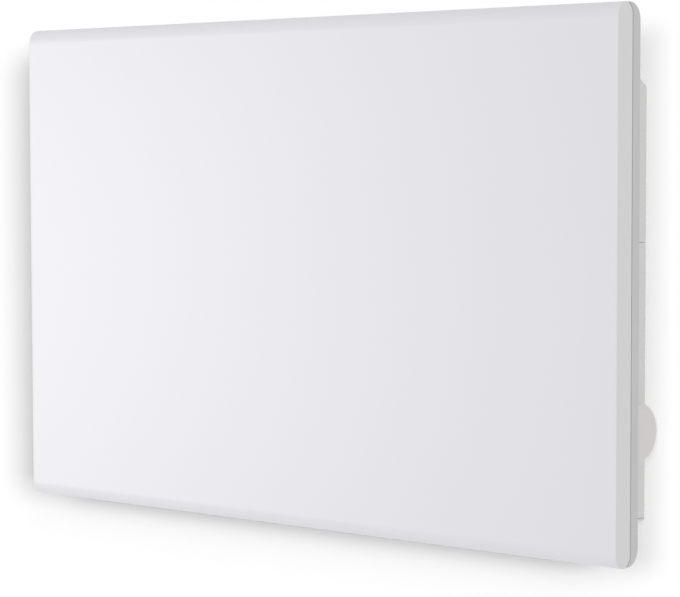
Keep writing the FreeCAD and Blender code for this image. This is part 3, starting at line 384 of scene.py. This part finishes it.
screwFacing = {"end_cap_screws": (0, 1, 0), "casing_screws": (0, 1, 0), "cover_screws": (0, -1, 0),
               "lid_screws": (0, 0, -1)}
for name, facing in screwFacing.items():
    places, length = headPlaces(nodes[name], lambda point: facing, screwLook["height"])
    screws = copiesAt(panHeadScrew(screwLook, length), places)
    piece = smoothPiece(name + "_crossRecess", screws, zincPlate, "heater")
    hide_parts(name)
    print("screws:", name, len(places))

rivetLook = {"head": 3.2, "dome": 1.6, "shank": 1.6, "tail": 2.6, "tailRise": 0.8,  # mm, by radius
             "steps": 32, "domeSteps": 8, "tailSteps": 6}


def domedRivet(look, length):
    # low domed head, and a tail set into a smaller dome behind the sheets
    foot = look["tailRise"] - length
    tailDome = dome(look["tail"], 0, look["tailRise"], look["tailSteps"])
    profile = [(radius, foot - rise) for radius, rise in reversed(tailDome)]
    profile += [(look["tail"], foot), (look["shank"], foot), (look["shank"], 0), (look["head"], 0)]
    profile += dome(look["head"], 0, look["dome"], look["domeSteps"])
    bm = turned(profile, look["steps"])
    mesh = bpy.data.meshes.new("rivet")
    bm.to_mesh(mesh)
    bm.free()
    return mesh


def towardsMiddle(point):
    return -math.copysign(1, point.x), 0, 0


places, length = headPlaces(nodes["bracket_rivets"], towardsMiddle, rivetLook["dome"])
rivets = copiesAt(domedRivet(rivetLook, length), places)
piece = smoothPiece("bracket_rivets_domed", rivets, zincPlate, "heater")
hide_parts("bracket_rivets")
print("rivets:", len(places))

# On and off marks, printed on the rocker's two faces: a bar and a ring, by half sizes and radii in mm
markLook = {"fromMiddle": 4.4, "bar": (0.45, 1.5), "ring": (0.95, 1.5), "steps": 28,
            "ink": 0.05, "sunk": 0.1, "aboveFace": 10.0}


def rockerMarks(look):
    rocker = nodes["mains_rocker"]
    low, high = (Vector(corner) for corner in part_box("mains_rocker"))
    middle = (low + high) / 2
    bm = bmesh.new()

    def onFace(y, z):
        # a point on the ink and one sunk below it, where a line along X meets the rocker
        start = Vector((high.x + look["aboveFace"] * mm, middle.y + y * mm, middle.z + z * mm))
        place, normal = rocker.ray_cast(start, (-1, 0, 0))[1:3]
        return [bm.verts.new(place + normal * depth * mm) for depth in (look["ink"], -look["sunk"])]

    half, tall = look["bar"]
    corners = ((-half, -tall), (half, -tall), (half, tall), (-half, tall))
    bar = [onFace(y, look["fromMiddle"] + z) for y, z in corners]
    for i in range(len(bar)):
        bm.faces.new((bar[i - 1][0], bar[i - 1][1], bar[i][1], bar[i][0]))
    for side in (0, 1):
        bm.faces.new([corner[side] for corner in bar])

    turns = [math.tau * i / look["steps"] for i in range(look["steps"])]
    inner, outer = ([onFace(r * math.cos(t), r * math.sin(t) - look["fromMiddle"]) for t in turns]
                    for r in look["ring"])
    for i in range(look["steps"]):
        for a, b in ((outer[i - 1], outer[i]), (inner[i], inner[i - 1])):
            bm.faces.new((a[0], a[1], b[1], b[0]))
        for side in (0, 1):
            bm.faces.new((outer[i - 1][side], outer[i][side], inner[i][side], inner[i - 1][side]))
    bmesh.ops.recalc_face_normals(bm, faces=bm.faces)
    return bm


smoothPiece("mains_rocker_marks", rockerMarks(markLook), printInk, "rocker")
print("rocker marks printed")

# Camera at the photograph's angle: metres, degrees, and millimetres for the lens
view = {"place": (1.1722, -1.4273, 0.0927), "right": 39.956, "down": 3.57, "roll": -0.14, "lens": 124.4,
        "sensor": 36.0}
camera = bpy.data.objects.new("camera", bpy.data.cameras.new("camera"))
scene.collection.objects.link(camera)
camera.data.lens = view["lens"]
camera.data.sensor_width = view["sensor"]
aim = Euler((math.radians(90 - view["down"]), 0, math.radians(view["right"]))).to_matrix()
aim = aim @ Matrix.Rotation(math.radians(view["roll"]), 3, "Z")
camera.matrix_world = Matrix.Translation(view["place"]) @ aim.to_4x4()
scene.camera = camera
print("camera set")


# Light and stage
def stagePlane(name, corners, material):
    mesh = bpy.data.meshes.new(name)
    mesh.from_pydata(corners, [], [(0, 1, 2, 3)])
    mesh.materials.append(material)
    plane = bpy.data.objects.new(name, mesh)
    scene.collection.objects.link(plane)
    plane.visible_diffuse = False  # only the camera sees it, so it neither lights nor shades the object
    plane.visible_glossy = False
    plane.visible_transmission = False
    plane.visible_shadow = False
    return plane


def stagePaint(name, colour, glow):
    # matt paint that shows from its front alone, with a little light of its own
    material, shader = newMaterial(name)
    shader.inputs["Base Color"].default_value = hexToLinear(colour)
    shader.inputs["Roughness"].default_value = 1.0
    shader.inputs["Specular IOR Level"].default_value = 0.0
    shader.inputs["Emission Color"].default_value = white
    shader.inputs["Emission Strength"].default_value = glow
    behind = addNode(material, "ShaderNodeNewGeometry").outputs["Backfacing"]
    clear = addNode(material, "ShaderNodeBsdfTransparent")
    mixed = addNode(material, "ShaderNodeMixShader", None,
                    {0: behind, 1: shader.outputs[0], 2: clear.outputs[0]})
    output = material.node_tree.nodes["Material Output"]
    material.node_tree.links.new(mixed.outputs[0], output.inputs["Surface"])
    return material


# The wall's tone is dark, so that the sky leaves little shade on it. Its own lamps bring it to white.
stageSet = {"reach": 8.0, "wallY": 0.0006, "floorZ": -0.42, "wallTone": "#505050", "wallGlow": 0.195,
            "floorTone": "#F4F4F4", "floorGlow": 0.39}
reach, wallY, floorZ = stageSet["reach"], stageSet["wallY"], stageSet["floorZ"]
wallPaint = stagePaint("wallPaint_matt", stageSet["wallTone"], stageSet["wallGlow"])
floorPaint = stagePaint("floorPaint_paleMatt", stageSet["floorTone"], stageSet["floorGlow"])
wall = stagePlane("backdropWall", [(-reach, wallY, floorZ), (reach, wallY, floorZ), (reach, wallY, reach),
                                   (-reach, wallY, reach)], wallPaint)
floor = stagePlane("floor", [(-reach, -reach, floorZ), (reach, -reach, floorZ), (reach, reach, floorZ),
                             (-reach, reach, floorZ)], floorPaint)

# Suns by degrees to the right of the wall's normal and up, with the angle that they fill
keySun = {"right": 47.0, "up": 4.0, "spread": 50.0, "strength": 0.1}  # broad and soft, from beside the camera
wallSuns = {  # these reach the wall alone
    "wallFront": {"right": 15.3, "up": 10.7, "spread": 16.0, "strength": 4.75},
    "wallNear": {"right": 29.8, "up": 13.4, "spread": 22.0, "strength": 8.3},
    "wallSide": {"right": 51.7, "up": 7.3, "spread": 14.8, "strength": 26.5},
    "wallHigh": {"right": 50.0, "up": 21.0, "spread": 14.4, "strength": 3.1},
}
leftFill = {"place": (-1.7, -1.5, -0.08), "aim": (-0.1, 0, 0), "size": 1.0, "watts": 12.4}
sky = {"light": 0.675, "shown": 1.0}  # what falls on surfaces, and what the camera and shiny metal see


def addLamp(name, kind, strength):
    lamp = bpy.data.objects.new(name, bpy.data.lights.new(name, kind))
    lamp.data.energy = strength
    scene.collection.objects.link(lamp)
    return lamp


def addSun(name, look):
    lamp = addLamp(name, "SUN", look["strength"])
    lamp.data.angle = math.radians(look["spread"])
    lamp.rotation_euler = (math.radians(90 - look["up"]), 0, math.radians(look["right"]))
    return lamp


def linkLight(lamp, groupName, receivers, state):
    group = bpy.data.collections.new(groupName)
    for item in receivers:
        group.objects.link(item)
    lamp.light_linking.receiver_collection = group
    for member in group.collection_objects:
        member.light_linking.link_state = state


keyLamp = addSun("key", keySun)
fillLamp = addLamp("leftFill", "AREA", leftFill["watts"])
fillLamp.data.size = leftFill["size"]
fillLamp.location = leftFill["place"]
fillAim = Vector(leftFill["aim"]) - fillLamp.location
fillLamp.rotation_euler = fillAim.to_track_quat("-Z", "Y").to_euler()
for name, look in wallSuns.items():
    linkLight(addSun(name, look), name + "Wall", [wall], "INCLUDE")
for lamp in (keyLamp, fillLamp):
    linkLight(lamp, lamp.name + "OffStage", [wall, floor], "EXCLUDE")

world = bpy.data.worlds.new("studio")
scene.world = world
world.use_nodes = True
backdrop = world.node_tree.nodes["Background"]
seen = addNode(world, "ShaderNodeLightPath")
direct = addNode(world, "ShaderNodeMath", {"operation": "MAXIMUM"},
                 {0: seen.outputs["Is Camera Ray"], 1: seen.outputs["Is Glossy Ray"]})
shown = addNode(world, "ShaderNodeMath", {"operation": "MAXIMUM"},
                {0: direct.outputs[0], 1: seen.outputs["Is Transmission Ray"]})
skyLevel = addNode(world, "ShaderNodeMapRange", {"To Min": sky["light"], "To Max": sky["shown"]},
                   {"Value": shown.outputs[0]})
backdrop.inputs["Color"].default_value = white
world.node_tree.links.new(skyLevel.outputs[0], backdrop.inputs["Strength"])
scene.view_settings.view_transform = "Standard"
print("light and stage set")
